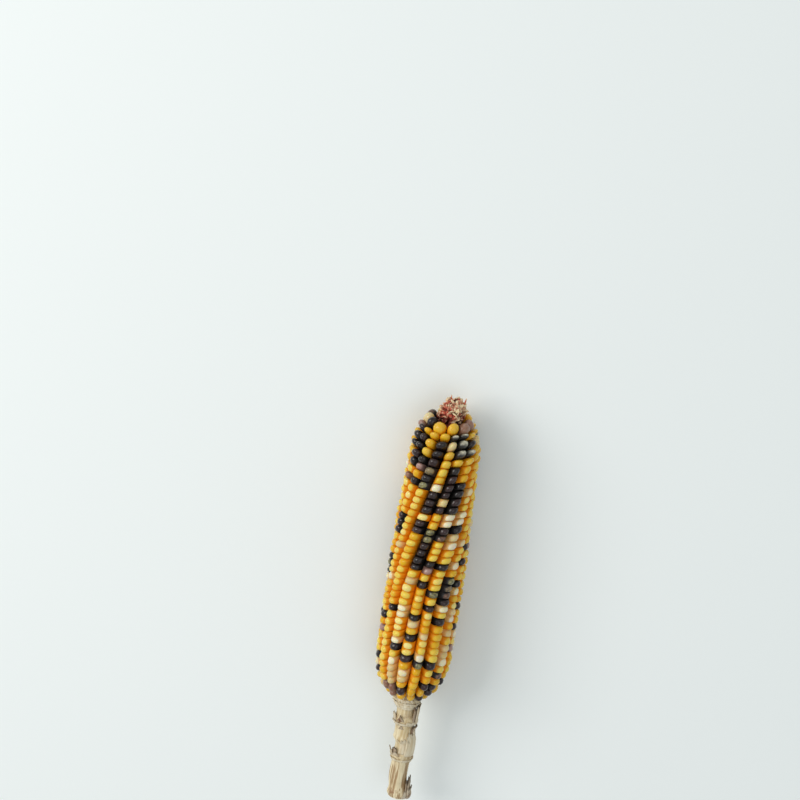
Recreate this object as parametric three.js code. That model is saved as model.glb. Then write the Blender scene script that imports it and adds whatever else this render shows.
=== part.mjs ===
// A dried ornamental corn cob, as picked: rows of kernels on a woody cob, a tuft of dry chaff
// on the bare tip, and a jointed shank with the torn stubs of its husk leaves.
// Millimetres and degrees. It lies level on its kernels, tip towards +Y, with +Z up.
//
// The ear is laid out in its own frame, with its axis along Y and the foot of the cob at y = 0.
// Angles round the axis are counted from straight up (+Z) towards +X.

import * as THREE from "three";

// Driving dimensions of the ear
const EAR_LENGTH = 162; // foot of the cob to the end of the kernels
const EAR_RADIUS = 20.6; // over the kernels, at the thickest
const ROWS = 16;
const KERNEL_PITCH = 3.9; // along a row
const ROW_GAP = 0.2; // from a row's flank to the line it shares with its neighbour
const VALLEY = 0.9; // how far the crown line dips between two kernels
const REST_FLAT = 0.6; // how far the side that it lies on is flattened

// The outline of the ear, as shares of its length
const BASE_ROUNDING = 0.2;
const TIP_ROUNDING = 0.17;
const ROUNDING_POWER = 2.4;
const TAPER_START = 0.53;
const TAPER_SLOPE = 0.29;
const TAPER_BLEND = 0.1;

// The cob inside the kernels
const COB_SHARE = 0.56; // of the radius over the kernels
const COB_STRETCH = 0.93; // of the ear's length, about its middle
const COB_LEAST_RADIUS = 6.9;
const CLEARANCE = 0.35; // between separate pieces
const COB_TIP = 153.5; // where the cob ends under the chaff
const FOOT_RADIUS = 7.4;

// How the rows wind round the cob, in degrees over its whole length, and wander from that
const SLOW_TWIST = 24; // all the way
const FAST_TWIST = 115; // added beyond TWIST_KNEE
const TWIST_KNEE = 0.43;
const TWIST_BLEND = 0.06;
const FIRST_ROW = -187; // where the first row starts, before it winds
const WANDER = 1.8;

// Chaff, shank and husk
const CHAFF_START = COB_TIP + CLEARANCE;
const CHAFF_END = 168.5;
const CHAFF_RADIUS = 7.4;
const SHANK_LENGTH = 55.5;
const HUSK_THICKNESS = 0.7;

const COLOURS = {
  kernel: 0xd39a22,
  cob: 0xcdb58c,
  chaff: 0xb0765a,
  shank: 0xc3ad7c,
  husk: 0xb89f72,
};
const SLICES = 400; // steps in which the outline's length is added up

const radians = THREE.MathUtils.degToRad;

// A repeatable number from 0 to 1 for a pair of whole numbers.
function noise(a, b) {
  const x = Math.sin(a * 12.9898 + b * 78.233) * 43758.5453;
  return x - Math.floor(x);
}

// A point at radius r and angle phi round the ear's axis.
function around(r, phi, y) {
  return new THREE.Vector3(r * Math.sin(phi), y, r * Math.cos(phi));
}

function roundedEnd(share) {
  if (share >= 1) return 1;
  return (1 - (1 - share) ** ROUNDING_POWER) ** (1 / ROUNDING_POWER);
}

// The radius over the kernels at the share t of the ear's length.
function earRadius(t) {
  const past = t - TAPER_START;
  const taper = 1 - (TAPER_SLOPE * (past + Math.hypot(past, TAPER_BLEND))) / 2;
  return EAR_RADIUS * taper * roundedEnd(t / BASE_ROUNDING) * roundedEnd((1 - t) / TIP_ROUNDING);
}

// Where a kernel that has its crown at t meets the cob.
function kernelFoot(t) {
  return {
    y: EAR_LENGTH * (0.5 + (t - 0.5) * COB_STRETCH),
    r: Math.max(COB_SHARE * earRadius(t), COB_LEAST_RADIUS),
  };
}

// The angle of the line between rows k - 1 and k, in radians.
function rowLine(k, t) {
  const past = t - TWIST_KNEE;
  const fast = (FAST_TWIST * (past + Math.hypot(past, TWIST_BLEND))) / 2;
  const own = WANDER * Math.sin(2 * Math.PI * (1.6 * t + 0.37 * (k % ROWS)));
  return radians(FIRST_ROW + (360 * k) / ROWS + SLOW_TWIST * t + fast + own);
}

// Rows end earlier on the upper side of the tip than on the lower one.
function rowSpan(k) {
  const middle = rowLine(k + 0.5, 1);
  return {
    from: 0.014 + 0.01 * noise(k, 1),
    to: 0.98 - 0.008 * Math.cos(middle) + 0.003 * noise(k, 2),
  };
}

// Lengths along the ear's outline, from its foot to each of SLICES shares of its length.
const OUTLINE = [0];
for (let i = 1; i <= SLICES; i++) {
  const rise = earRadius(i / SLICES) - earRadius((i - 1) / SLICES);
  OUTLINE.push(OUTLINE[i - 1] + Math.hypot(rise, EAR_LENGTH / SLICES));
}

function lengthAt(t) {
  const i = Math.min(Math.floor(t * SLICES), SLICES - 1);
  return THREE.MathUtils.lerp(OUTLINE[i], OUTLINE[i + 1], t * SLICES - i);
}

function shareAt(length) {
  const i = Math.max(OUTLINE.findIndex((reached) => reached >= length), 1);
  return (i - 1 + (length - OUTLINE[i - 1]) / (OUTLINE[i] - OUTLINE[i - 1])) / SLICES;
}

// The shares t of the ends of a row's kernels. Kernels are longer near both ends of the ear.
function kernelEnds(k) {
  const { from, to } = rowSpan(k);
  const start = lengthAt(from);
  const reach = lengthAt(to) - start;
  const sizes = [];
  for (let sum = 0; sum < reach - KERNEL_PITCH / 2; sum += sizes.at(-1)) {
    const along = sum / reach;
    const swell = 1 + 0.28 * Math.exp(-along / 0.07) + 0.42 * Math.exp((along - 1) / 0.18);
    sizes.push(KERNEL_PITCH * swell * (0.88 + 0.24 * noise(k + 3, sizes.length)));
  }
  const stretch = reach / sizes.reduce((a, b) => a + b, 0);
  const ends = [from];
  let at = start;
  for (const size of sizes) {
    at += size * stretch;
    ends.push(shareAt(at));
  }
  return ends;
}

// A closed mesh through rings of points, each ring running the same way round.
function loft(rings, closed = false) {
  const count = rings[0].length;
  const points = rings.flat();
  const faces = [];
  const last = closed ? rings.length : rings.length - 1;
  for (let j = 0; j < last; j++) {
    const here = j * count;
    const next = ((j + 1) % rings.length) * count;
    for (let i = 0; i < count; i++) {
      const k = (i + 1) % count;
      faces.push(here + i, here + k, next + k, here + i, next + k, next + i);
    }
  }
  if (!closed) {
    const end = (rings.length - 1) * count;
    for (let i = 1; i < count - 1; i++) {
      faces.push(0, i + 1, i);
      faces.push(end, end + i, end + i + 1);
    }
  }
  const geometry = new THREE.BufferGeometry().setFromPoints(points);
  geometry.setIndex(faces);
  geometry.computeVertexNormals();
  return geometry;
}

// One cross-section of a row of kernels: foot, flanks and flat crown.
function rowSection(k, t, crown) {
  const foot = kernelFoot(t);
  const tip = { y: EAR_LENGTH * t, r: earRadius(t) };
  const left = rowLine(k, t);
  const right = rowLine(k + 1, t);
  const middle = (left + right) / 2;
  const half = (right - left) / 2;
  const point = (height, spread) => {
    const r = THREE.MathUtils.lerp(foot.r, tip.r, height);
    const reach = spread * (half - ROW_GAP / r);
    const corner = around(r, middle + reach, THREE.MathUtils.lerp(foot.y, tip.y, height));
    corner.z = Math.max(corner.z, REST_FLAT - EAR_RADIUS);
    return corner;
  };
  const top = crown ? 1 : 1 - VALLEY / Math.hypot(tip.r - foot.r, tip.y - foot.y);
  const flank = crown ? 0.68 : 0.6;
  return [
    point(0, -0.8),
    point(flank, -1),
    point(top, -0.58),
    point(top, 0.58),
    point(flank, 1),
    point(0, 0.8),
  ];
}

function kernelRow(k) {
  const ends = kernelEnds(k);
  const rings = [rowSection(k, ends[0], false)];
  for (let i = 1; i < ends.length; i++) {
    rings.push(rowSection(k, (ends[i - 1] + ends[i]) / 2, true));
    rings.push(rowSection(k, ends[i], false));
  }
  return loft(rings);
}

// The woody cob: a flanged foot, the body under the kernels and a blunt tip.
function cob() {
  const body = [];
  for (let t = 0.03; t < 0.97; t += 0.04) {
    const foot = kernelFoot(t);
    if (foot.y < COB_TIP - 1) body.push(new THREE.Vector2(foot.r - CLEARANCE, foot.y));
  }
  const bareRadius = COB_LEAST_RADIUS - CLEARANCE;
  const profile = [
    new THREE.Vector2(0, 0),
    new THREE.Vector2(FOOT_RADIUS, 0),
    new THREE.Vector2(FOOT_RADIUS, 1.4),
    new THREE.Vector2(bareRadius - 0.4, 4),
    ...body,
    new THREE.Vector2(bareRadius - 0.4, COB_TIP),
    new THREE.Vector2(0, COB_TIP),
  ];
  return new THREE.LatheGeometry(profile, 28);
}

// The tuft of dry chaff on the bare tip, narrow between the kernels and lumpy above them.
function chaff() {
  const sides = 14;
  const heights = [0, 0.2, 0.38, 0.55, 0.72, 0.87, 0.97, 1];
  const girths = [0.72, 0.78, 0.86, 1, 1, 0.8, 0.46, 0.18];
  const rings = heights.map((height, j) =>
    Array.from({ length: sides }, (_, i) => {
      const lump = 1 - 0.16 * noise(i + 20, j) * Math.min(1, 3 * height);
      const y = THREE.MathUtils.lerp(CHAFF_START, CHAFF_END, height);
      return around(CHAFF_RADIUS * girths[j] * lump, (2 * Math.PI * i) / sides, y);
    }),
  );
  return loft(rings);
}

// The shank's centre line, from just under the cob to the cut.
const SHANK_LINE = new THREE.CatmullRomCurve3([
  new THREE.Vector3(0, -CLEARANCE, 0),
  new THREE.Vector3(0.5, -8, 0.2),
  new THREE.Vector3(0.9, -17.5, 0.1),
  new THREE.Vector3(2.2, -26, -0.4),
  new THREE.Vector3(1.8, -34, -0.9),
  new THREE.Vector3(1.4, -43, -0.8),
  new THREE.Vector3(2.9, -SHANK_LENGTH, 0.2),
]);
const SHANK_JOINTS = [-11.3, -22, -32, -53]; // where husk leaves grew
const SHANK_RADIUS = 4.75;
const JOINT_SWELL = 1; // how far a joint stands out
const JOINT_SPREAD = 1.9;

// The centre of the shank at the height y.
function shankCentre(y) {
  const share = (-CLEARANCE - y) / (SHANK_LENGTH - CLEARANCE);
  const point = SHANK_LINE.getPoint(THREE.MathUtils.clamp(share, 0, 1));
  return new THREE.Vector3(point.x, y, point.z);
}

function shankRadius(y) {
  const swelling = SHANK_JOINTS.map((joint) => Math.exp(-(((y - joint) / JOINT_SPREAD) ** 2)));
  const flare = 0.8 * Math.exp((y + CLEARANCE) / 2);
  return SHANK_RADIUS + JOINT_SWELL * Math.max(...swelling) + flare;
}

// A point on a ring round the shank.
function onShank(y, phi, out) {
  return around(shankRadius(y) + out, phi, 0).add(shankCentre(y));
}

function shank() {
  const sides = 14;
  const steps = 34;
  const rings = [];
  for (let j = 0; j <= steps; j++) {
    const y = THREE.MathUtils.lerp(-SHANK_LENGTH, -CLEARANCE, j / steps);
    rings.push(Array.from({ length: sides }, (_, i) => onShank(y, (2 * Math.PI * i) / sides, 0)));
  }
  return loft(rings);
}

// A torn husk leaf: a plate that wraps the shank from one angle to another. It stands on the
// shank at the height foot, is ragged along its upper edge and leans out by flare.
function huskStub({ foot, height, from, to, flare, seed }) {
  const steps = Math.max(5, Math.round((to - from) / 18));
  const wholeRing = to - from >= 360;
  const rings = [];
  for (let i = 0; i <= steps; i++) {
    if (wholeRing && i === steps) break;
    const phi = radians(THREE.MathUtils.lerp(from, to, i / steps));
    const edge = wholeRing ? 1 : Math.sin((Math.PI * (i + 0.6)) / (steps + 1.2));
    const tall = height * (0.55 + 0.45 * noise(i, seed)) * (0.4 + 0.6 * edge);
    const plate = (out, up) => {
      const y = foot + tall * up;
      const lean = flare * up * up;
      const widest = Math.max(shankRadius(y), shankRadius(foot), shankRadius(foot + tall / 2));
      return around(widest + CLEARANCE + lean + out, phi, 0).add(shankCentre(y));
    };
    rings.push([
      plate(0, 0),
      plate(0, 0.5),
      plate(0, 1),
      plate(HUSK_THICKNESS * 0.6, 1),
      plate(HUSK_THICKNESS, 0.5),
      plate(HUSK_THICKNESS, 0),
    ]);
  }
  return loft(rings, wholeRing);
}

// Heights count up towards the cob, and angles as everywhere.
const HUSK_STUBS = {
  husk_collar_top: { foot: -5.2, height: 4.3, from: 0, to: 360, flare: 0.8, seed: 31 },
  husk_flap: { foot: -11.6, height: 9.6, from: 48, to: 128, flare: 2.1, seed: 32 },
  husk_collar_upper: { foot: -14.6, height: 2.4, from: 0, to: 360, flare: 0.2, seed: 33 },
  husk_sheath: { foot: -29.6, height: 13.5, from: 10, to: 175, flare: 0.5, seed: 34 },
  husk_curl: { foot: -31, height: 6.5, from: 235, to: 320, flare: 1.3, seed: 35 },
  husk_collar_lower: { foot: -36.2, height: 2.6, from: 0, to: 360, flare: 0.3, seed: 36 },
  husk_spur: { foot: -52, height: 10, from: 50, to: 130, flare: 0.4, seed: 37 },
};

function mesh(name, geometry, colour, roughness) {
  const material = new THREE.MeshStandardMaterial({ color: colour, roughness, metalness: 0 });
  const made = new THREE.Mesh(geometry, material);
  made.name = name;
  return made;
}

const ear = new THREE.Group();
ear.add(mesh("cob_core", cob(), COLOURS.cob, 0.8));
for (let k = 0; k < ROWS; k++) {
  const name = `kernel_row_${String(k + 1).padStart(2, "0")}`;
  ear.add(mesh(name, kernelRow(k), COLOURS.kernel, 0.35));
}
ear.add(mesh("tip_chaff", chaff(), COLOURS.chaff, 0.9));
ear.add(mesh("shank", shank(), COLOURS.shank, 0.75));
for (const [name, stub] of Object.entries(HUSK_STUBS)) {
  ear.add(mesh(name, huskStub(stub), COLOURS.husk, 0.8));
}

// The ear rests on the surface, with the middle of its outline over the origin.
const box = new THREE.Box3().setFromObject(ear, true);
const middle = box.getCenter(new THREE.Vector3());
ear.position.set(-middle.x, -middle.y, -box.min.z);

const cornCob = new THREE.Group();
cornCob.add(ear);

export default cornCob;
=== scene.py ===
"""The looks of a dried ornamental corn cob: its kernels, chaff, shank and torn husk."""

import math
import random

import bpy
from mathutils import Matrix, Vector, noise


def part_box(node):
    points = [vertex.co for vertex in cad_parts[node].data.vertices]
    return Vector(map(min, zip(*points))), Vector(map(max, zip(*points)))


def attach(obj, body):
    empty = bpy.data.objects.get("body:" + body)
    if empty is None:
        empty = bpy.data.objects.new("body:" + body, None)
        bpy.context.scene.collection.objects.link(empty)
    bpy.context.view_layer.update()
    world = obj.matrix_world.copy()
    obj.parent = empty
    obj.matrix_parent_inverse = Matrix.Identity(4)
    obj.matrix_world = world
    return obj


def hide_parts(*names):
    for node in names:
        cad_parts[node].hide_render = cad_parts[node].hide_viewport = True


bl_info = {
    "name": "Ornamental corn cob",
    "version": (1, 0, 0),
    "blender": (4, 5, 0),
    "location": "View3D > Sidebar > Corn Cob",
    "description": "Builds a dried ornamental corn cob round its packed frame",
    "category": "Object",
}

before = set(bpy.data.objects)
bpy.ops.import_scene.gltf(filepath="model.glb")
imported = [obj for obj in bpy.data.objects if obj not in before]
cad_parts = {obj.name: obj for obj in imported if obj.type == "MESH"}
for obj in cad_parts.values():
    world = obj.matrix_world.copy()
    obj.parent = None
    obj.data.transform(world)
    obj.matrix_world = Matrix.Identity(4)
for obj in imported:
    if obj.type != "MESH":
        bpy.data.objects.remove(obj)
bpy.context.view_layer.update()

# The ear's own frame: its axis runs along Y, with the foot of the cob at 0. Angles round the axis
# are counted from straight up towards +X.
CORE_LOW, CORE_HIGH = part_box("cob_core")
AXIS_X = (CORE_LOW.x + CORE_HIGH.x) / 2
AXIS_Z = (CORE_LOW.z + CORE_HIGH.z) / 2
FOOT_Y = CORE_LOW.y
SHANK_END_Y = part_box("shank")[0].y
ROWS = sum(name.startswith("kernel_row_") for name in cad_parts)

MM = 0.001
ROOT = "root"

# The outline of the ear, as shares of its length
BASE_ROUNDING = 0.2
TIP_ROUNDING = 0.17
ROUNDING_POWER = 2.4
TAPER_START = 0.53
TAPER_SLOPE = 0.29
TAPER_BLEND = 0.1

# Where the kernels stand on the cob
COB_SHARE = 0.56
COB_STRETCH = 0.93
COB_LEAST_RADIUS = 6.9 * MM

# How the rows wind round the cob, in degrees over its whole length
SLOW_TWIST = 24
FAST_TWIST = 115
TWIST_KNEE = 0.43
TWIST_BLEND = 0.06
FIRST_ROW = -187
WANDER = 1.8

# Where a row starts and ends, as shares of the ear's length, and how far that varies
ROW_START = 0.014
ROW_START_SPREAD = 0.01
ROW_END = 0.98
ROW_END_TILT = 0.008
ROW_END_SPREAD = 0.003

# How much longer a row's kernels grow towards its foot and its tip, over what share of the row
FOOT_SWELL = 0.28
FOOT_SWELL_REACH = 0.07
TIP_SWELL = 0.42
TIP_SWELL_REACH = 0.18
LEAST_PITCH = 0.88  # the shortest kernel, as a share of the usual pitch
PITCH_SPREAD = 0.24  # how much longer the longest one is

SLICES = 400  # steps in which the outline's length is added up

# The shank: its centre line as places below the foot and how far off the axis it is there, across
# and up, and its joints, all in millimetres
SHANK_LINE = (
    (0.5, 0, 0), (-8, 0.5, 0.2), (-17.5, 0.9, 0.1), (-26, 2.2, -0.4),
    (-34, 1.8, -0.9), (-43, 1.4, -0.8), (-56, 2.9, 0.2),
)
SHANK_JOINTS = (-11.3, -22, -32, -53)
JOINT_SWELL = 1
JOINT_SPREAD = 1.9
JOINT_WEAR = 3  # how far from a joint the stalk is stained
TOP_FLARE = 0.8  # how much wider the stalk is where it meets the cob, and how soon that fades
TOP_FLARE_REACH = 2
WEATHERED_BELOW = 30  # how far below the foot the stalk turns brown, and over what length
WEATHERED_FADE = 8
SHANK_TOP = -0.35 * MM
SHANK_RADIUS = 4.75 * MM
SHANK_SIDES = 28
SHANK_STATIONS = 60


def paint(red, green, blue):
    """A colour as a shader takes it, from the 0 to 255 values of a swatch."""
    def linear(value):
        share = value / 255
        return share / 12.92 if share <= 0.04045 else ((share + 0.055) / 1.055) ** 2.4
    return (linear(red), linear(green), linear(blue))


def colour(name, description, swatch):
    """A colour property with a swatch as its default."""
    return bpy.props.FloatVectorProperty(
        name=name, description=description, default=paint(*swatch), subtype="COLOR", min=0, max=1
    )


def length(name, description, default):
    """A length property in metres."""
    return bpy.props.FloatProperty(
        name=name, description=description, default=default, min=0, unit="LENGTH", precision=5
    )


def share(name, description, default):
    """A property from 0 to 1."""
    return bpy.props.FloatProperty(
        name=name, description=description, default=default, min=0, max=1, subtype="FACTOR"
    )


def angle(name, description, degrees):
    """An angle property."""
    return bpy.props.FloatProperty(
        name=name, description=description, default=math.radians(degrees), subtype="ANGLE"
    )


class CobSizes(bpy.types.PropertyGroup):
    """The ear's driving sizes."""

    ear_length: length("Ear length", "Foot of the cob to the end of the kernels", 162 * MM)
    ear_radius: length("Ear radius", "Over the kernels, at the thickest", 20.6 * MM)
    kernel_pitch: length("Kernel pitch", "From kernel to kernel along a row", 3.9 * MM)
    crown_unevenness: length("Crown unevenness", "How far crowns stand high or low", 0.35 * MM)
    kernel_skew: share("Kernel skew", "How far a kernel leans along its row", 0.16)
    scale_length: length("Chaff length", "Length of a scale of chaff", 4.2 * MM)
    husk_thickness: length("Husk thickness", "Thickness of the husk's torn leaves", 0.35 * MM)


class KernelColours(bpy.types.PropertyGroup):
    """The kernels' colours."""

    yellow_cap: colour("Yellow cap", "Starchy crown of a yellow kernel", (231, 202, 80))
    lemon_cap: colour("Lemon cap", "Crown of the palest yellow kernels", (240, 226, 150))
    golden_cap: colour("Golden cap", "Crown of the deepest yellow kernels", (222, 170, 12))
    yellow_flank: colour("Yellow flank", "Translucent sides of a yellow kernel", (228, 132, 0))
    cream_cap: colour("Cream cap", "Crown of the palest cream kernels", (238, 228, 192))
    tan_cap: colour("Tan cap", "Crown of the darkest cream kernels", (214, 190, 130))
    cream_flank: colour("Cream flank", "Sides of a cream kernel", (218, 160, 84))
    black_skin: colour("Black skin", "Skin of the darkest kernels", (22, 16, 15))
    purple_skin: colour("Purple skin", "Skin of purple kernels", (50, 29, 28))
    olive_spot: colour("Olive spot", "Spots on mottled kernels", (146, 140, 88))
    brown_spot: colour("Brown spot", "Spots on mottled kernels", (128, 88, 62))
    frost: colour("Frost", "White crown of a black kernel", (226, 218, 192))
    mauve_skin: colour("Mauve skin", "Skin of mauve kernels", (166, 126, 116))
    brown_skin: colour("Brown skin", "Skin of brown kernels", (136, 84, 54))


class DryColours(bpy.types.PropertyGroup):
    """The colours of the dry parts round the kernels."""

    chaff_red: colour("Chaff red", "Red scales of chaff", (190, 84, 62))
    chaff_cream: colour("Chaff cream", "Pale scales of chaff", (236, 216, 176))
    # the pith's own dark red, and the painted shade of the chaff low in the tuft
    chaff_dark_and_shade: colour("Chaff shade", "Chaff deep in the tuft", (92, 26, 16))
    shank_pale: colour("Shank pale", "Pale fibres of the shank", (232, 217, 182))
    shank_straw: colour("Shank straw", "Most of the shank", (198, 172, 124))
    shank_brown: colour("Shank brown", "Brown fibres and spots", (134, 90, 54))
    husk_pale: colour("Husk pale", "Pale husk", (236, 224, 198))
    # weathered husk, and also painted shade on the inner strips of the curls
    husk_brown_and_shade: colour("Husk brown", "Weathered husk edges", (112, 74, 46))
    # darkest torn edges, and also painted shade inside the husk's curls
    husk_dark_and_shade: colour("Husk dark", "Darkest torn husk", (44, 30, 18))


class StageSettings(bpy.types.PropertyGroup):
    """The floor, the light and the camera."""

    floor: colour("Floor", "The surface that the cob lies on", (244, 248, 247))
    lean: angle("Lean", "How far the tip leans towards the camera", 16)
    roll: angle("Roll", "How far the cob leans to the right in the picture", 8.4)
    distance: length("Distance", "Camera to the middle of the ear", 1.5)
    span: length("Span", "What the picture's width shows at that distance", 416 * MM)
    key_power: bpy.props.FloatProperty(
        name="Key light", description="Power, in watts", default=15.5, min=0
    )


def settings():
    """The scene's four groups of settings: sizes, kernels, dry parts and stage."""
    scene = bpy.context.scene
    return scene.cob_sizes, scene.kernel_colours, scene.dry_colours, scene.stage_settings


# ---------------------------------------------------------------- the shape of the ear


def around(radius, phi, along):
    """A point at a radius and an angle round the ear's axis."""
    return Vector(
        (AXIS_X + radius * math.sin(phi), FOOT_Y + along, AXIS_Z + radius * math.cos(phi))
    )


def lerp(low, high, part):
    """The number that lies that part of the way from low to high."""
    return low + (high - low) * part


def rounded_end(part):
    """How full the outline is, counted from one of its ends."""
    if part >= 1:
        return 1
    return (1 - (1 - max(part, 0)) ** ROUNDING_POWER) ** (1 / ROUNDING_POWER)


def ear_radius(t):
    """The radius over the kernels at the share t of the ear's length."""
    past = t - TAPER_START
    taper = 1 - TAPER_SLOPE * (past + math.hypot(past, TAPER_BLEND)) / 2
    ends = rounded_end(t / BASE_ROUNDING) * rounded_end((1 - t) / TIP_ROUNDING)
    return settings()[0].ear_radius * taper * ends


def kernel_foot(t):
    """Where a kernel that has its crown at t meets the cob, as a radius and a place along it."""
    along = settings()[0].ear_length * (0.5 + (t - 0.5) * COB_STRETCH)
    return max(COB_SHARE * ear_radius(t), COB_LEAST_RADIUS), along


def row_line(k, t):
    """The angle of the line between rows k - 1 and k."""
    past = t - TWIST_KNEE
    fast = FAST_TWIST * (past + math.hypot(past, TWIST_BLEND)) / 2
    own = WANDER * math.sin(2 * math.pi * (1.6 * t + 0.37 * (k % ROWS)))
    return math.radians(FIRST_ROW + 360 * k / ROWS + SLOW_TWIST * t + fast + own)


def hashed(a, b):
    """A repeatable number from 0 to 1 for a pair of whole numbers, as the frame uses."""
    x = math.sin(a * 12.9898 + b * 78.233) * 43758.5453
    return x - math.floor(x)


def row_span(k):
    """The shares t where a row starts and ends."""
    middle = row_line(k + 0.5, 1)
    return (
        ROW_START + ROW_START_SPREAD * hashed(k, 1),
        ROW_END - ROW_END_TILT * math.cos(middle) + ROW_END_SPREAD * hashed(k, 2),
    )


class Outline:
    """Lengths along the ear's outline, to turn distances into shares of its length and back."""

    def __init__(self):
        ear = settings()[0].ear_length
        self.reached = [0]
        for i in range(1, SLICES + 1):
            rise = ear_radius(i / SLICES) - ear_radius((i - 1) / SLICES)
            self.reached.append(self.reached[-1] + math.hypot(rise, ear / SLICES))

    def length_at(self, t):
        """The length of the outline up to t."""
        i = min(int(t * SLICES), SLICES - 1)
        return lerp(self.reached[i], self.reached[i + 1], t * SLICES - i)

    def share_at(self, wanted):
        """The share t where the outline has the wanted length."""
        i = next((i for i, reached in enumerate(self.reached) if reached >= wanted), SLICES)
        i = max(i, 1)
        step = (wanted - self.reached[i - 1]) / (self.reached[i] - self.reached[i - 1])
        return (i - 1 + step) / SLICES


def kernel_ends(outline, k):
    """The shares t of the ends of a row's kernels, which are longer near both ends of the ear."""
    pitch = settings()[0].kernel_pitch
    first, last = row_span(k)
    start = outline.length_at(first)
    reach = outline.length_at(last) - start
    sizes = []
    while sum(sizes) < reach - pitch / 2:
        along = sum(sizes) / reach
        swell = 1 + FOOT_SWELL * math.exp(-along / FOOT_SWELL_REACH)
        swell += TIP_SWELL * math.exp((along - 1) / TIP_SWELL_REACH)
        sizes.append(pitch * swell * (LEAST_PITCH + PITCH_SPREAD * hashed(k + 3, len(sizes))))
    stretch = reach / sum(sizes)
    ends = [first]
    for size in sizes:
        start += size * stretch
        ends.append(outline.share_at(start))
    return ends


# ---------------------------------------------------------------- modelling helpers


def deselect():
    """Leaves nothing selected."""
    if bpy.context.object and bpy.context.object.mode != "OBJECT":
        bpy.ops.object.mode_set(mode="OBJECT")
    bpy.ops.object.select_all(action="DESELECT")


def select_where(piece, kind, items, test):
    """Opens a piece in edit mode with only those faces or edges selected that pass the test."""
    bpy.ops.object.mode_set(mode="EDIT")
    bpy.ops.mesh.select_mode(type=kind)
    bpy.ops.mesh.select_all(action="DESELECT")
    bpy.ops.object.mode_set(mode="OBJECT")
    for item in getattr(piece.data, items):
        item.select = test(item)
    bpy.ops.object.mode_set(mode="EDIT")


def select_faces(piece, test):
    """Selects the faces whose middle and normal pass the test."""
    select_where(piece, "FACE", "polygons", lambda face: test(face.center, face.normal))


def select_edges(piece, test):
    """Selects the edges whose two ends pass the test."""
    points = piece.data.vertices
    select_where(
        piece, "EDGE", "edges", lambda edge: test(*(points[index].co for index in edge.vertices))
    )


def finish_modifier(piece, kind, **values):
    """Adds a modifier and applies it."""
    bpy.context.view_layer.objects.active = piece
    modifier = piece.modifiers.new(kind.title(), kind)
    for name, value in values.items():
        setattr(modifier, name, value)
    bpy.ops.object.modifier_apply(modifier=modifier.name)


def settle(piece):
    """Puts a piece's place into its mesh and turns its faces outwards."""
    deselect()
    piece.select_set(True)
    bpy.context.view_layer.objects.active = piece
    bpy.ops.object.transform_apply(location=True, rotation=True, scale=True)
    bpy.ops.object.mode_set(mode="EDIT")
    bpy.ops.mesh.select_all(action="SELECT")
    bpy.ops.mesh.normals_make_consistent(inside=False)
    bpy.ops.object.mode_set(mode="OBJECT")


def ordered(face):
    """A face's corners, counted from the lowest."""
    corners = list(face.vertices)
    first = corners.index(min(corners))
    return corners[first:] + corners[:first]


class Shape:
    """A modelled pattern piece's points and faces, in a fixed order, ready to be copied."""

    def __init__(self, piece):
        self.points = [vertex.co.copy() for vertex in piece.data.vertices]
        self.faces = sorted(ordered(face) for face in piece.data.polygons)
        mesh = piece.data
        bpy.data.objects.remove(piece)
        bpy.data.meshes.remove(mesh)


class Gathering:
    """Copies of patterns gathered into one mesh, with what each point tells its material."""

    def __init__(self):
        self.points = []
        self.faces = []
        self.finishes = []
        self.marks = {}

    def add(self, shape, points, finish=0, **marks):
        """Adds a copy of a shape with its own points. Each mark gives a value for each point."""
        first = len(self.points)
        self.points += points
        self.faces += [[first + corner for corner in face] for face in shape.faces]
        self.finishes += [finish] * len(shape.faces)
        for name, values in marks.items():
            self.marks.setdefault(name, []).extend(values)

    def make(self, name, materials):
        """The gathered mesh as an object, with marks of three values as vectors."""
        mesh = bpy.data.meshes.new(name)
        mesh.from_pydata(self.points, [], self.faces)
        mesh.polygons.foreach_set("material_index", self.finishes)
        mesh.polygons.foreach_set("use_smooth", [True] * len(self.faces))
        for mark, values in self.marks.items():
            layer = mesh.attributes.new(mark, "FLOAT_VECTOR", "POINT")
            layer.data.foreach_set("vector", [number for value in values for number in value])
        for material in materials:
            mesh.materials.append(material)
        mesh.update()
        piece = bpy.data.objects.new(name, mesh)
        bpy.context.scene.collection.objects.link(piece)
        return piece


# ---------------------------------------------------------------- shader helpers


def fill(tree, node, inputs):
    """Fills a node's inputs from sockets or constants."""
    for name, value in inputs.items():
        if isinstance(value, bpy.types.NodeSocket):
            tree.links.new(value, node.inputs[name])
        else:
            node.inputs[name].default_value = value


def wire(tree, kind, inputs=None, **values):
    """Adds a node, sets its values, and fills its inputs."""
    made = tree.nodes.new("ShaderNode" + kind)
    for name, value in values.items():
        setattr(made, name, value)
    fill(tree, made, inputs or {})
    return made


def rgba(three):
    """A colour with full alpha."""
    return (*three, 1)


def blend(tree, factor, first, second):
    """Mixes two colours by a factor, and puts out the mixed colour."""
    pair = [
        tint if isinstance(tint, bpy.types.NodeSocket) else rgba(tint) for tint in (first, second)
    ]
    inputs = {0: factor, 6: pair[0], 7: pair[1]}
    return wire(tree, "Mix", inputs, data_type="RGBA").outputs[2]


def sums(tree, operation, first, second=0.5, third=0.5):
    """A Math node's result."""
    inputs = {0: first, 1: second, 2: third}
    return wire(tree, "Math", inputs, operation=operation).outputs[0]


def times(tree, first, second):
    """The product of two values."""
    return sums(tree, "MULTIPLY", first, second)


def steps(tree, value, low, high, start=0.0, end=1.0):
    """Fades smoothly from start to end as the value goes from low to high."""
    inputs = {"Value": value, "From Min": low, "From Max": high, "To Min": start, "To Max": end}
    made = wire(tree, "MapRange", inputs, interpolation_type="SMOOTHSTEP")
    return made.outputs["Result"]


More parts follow.
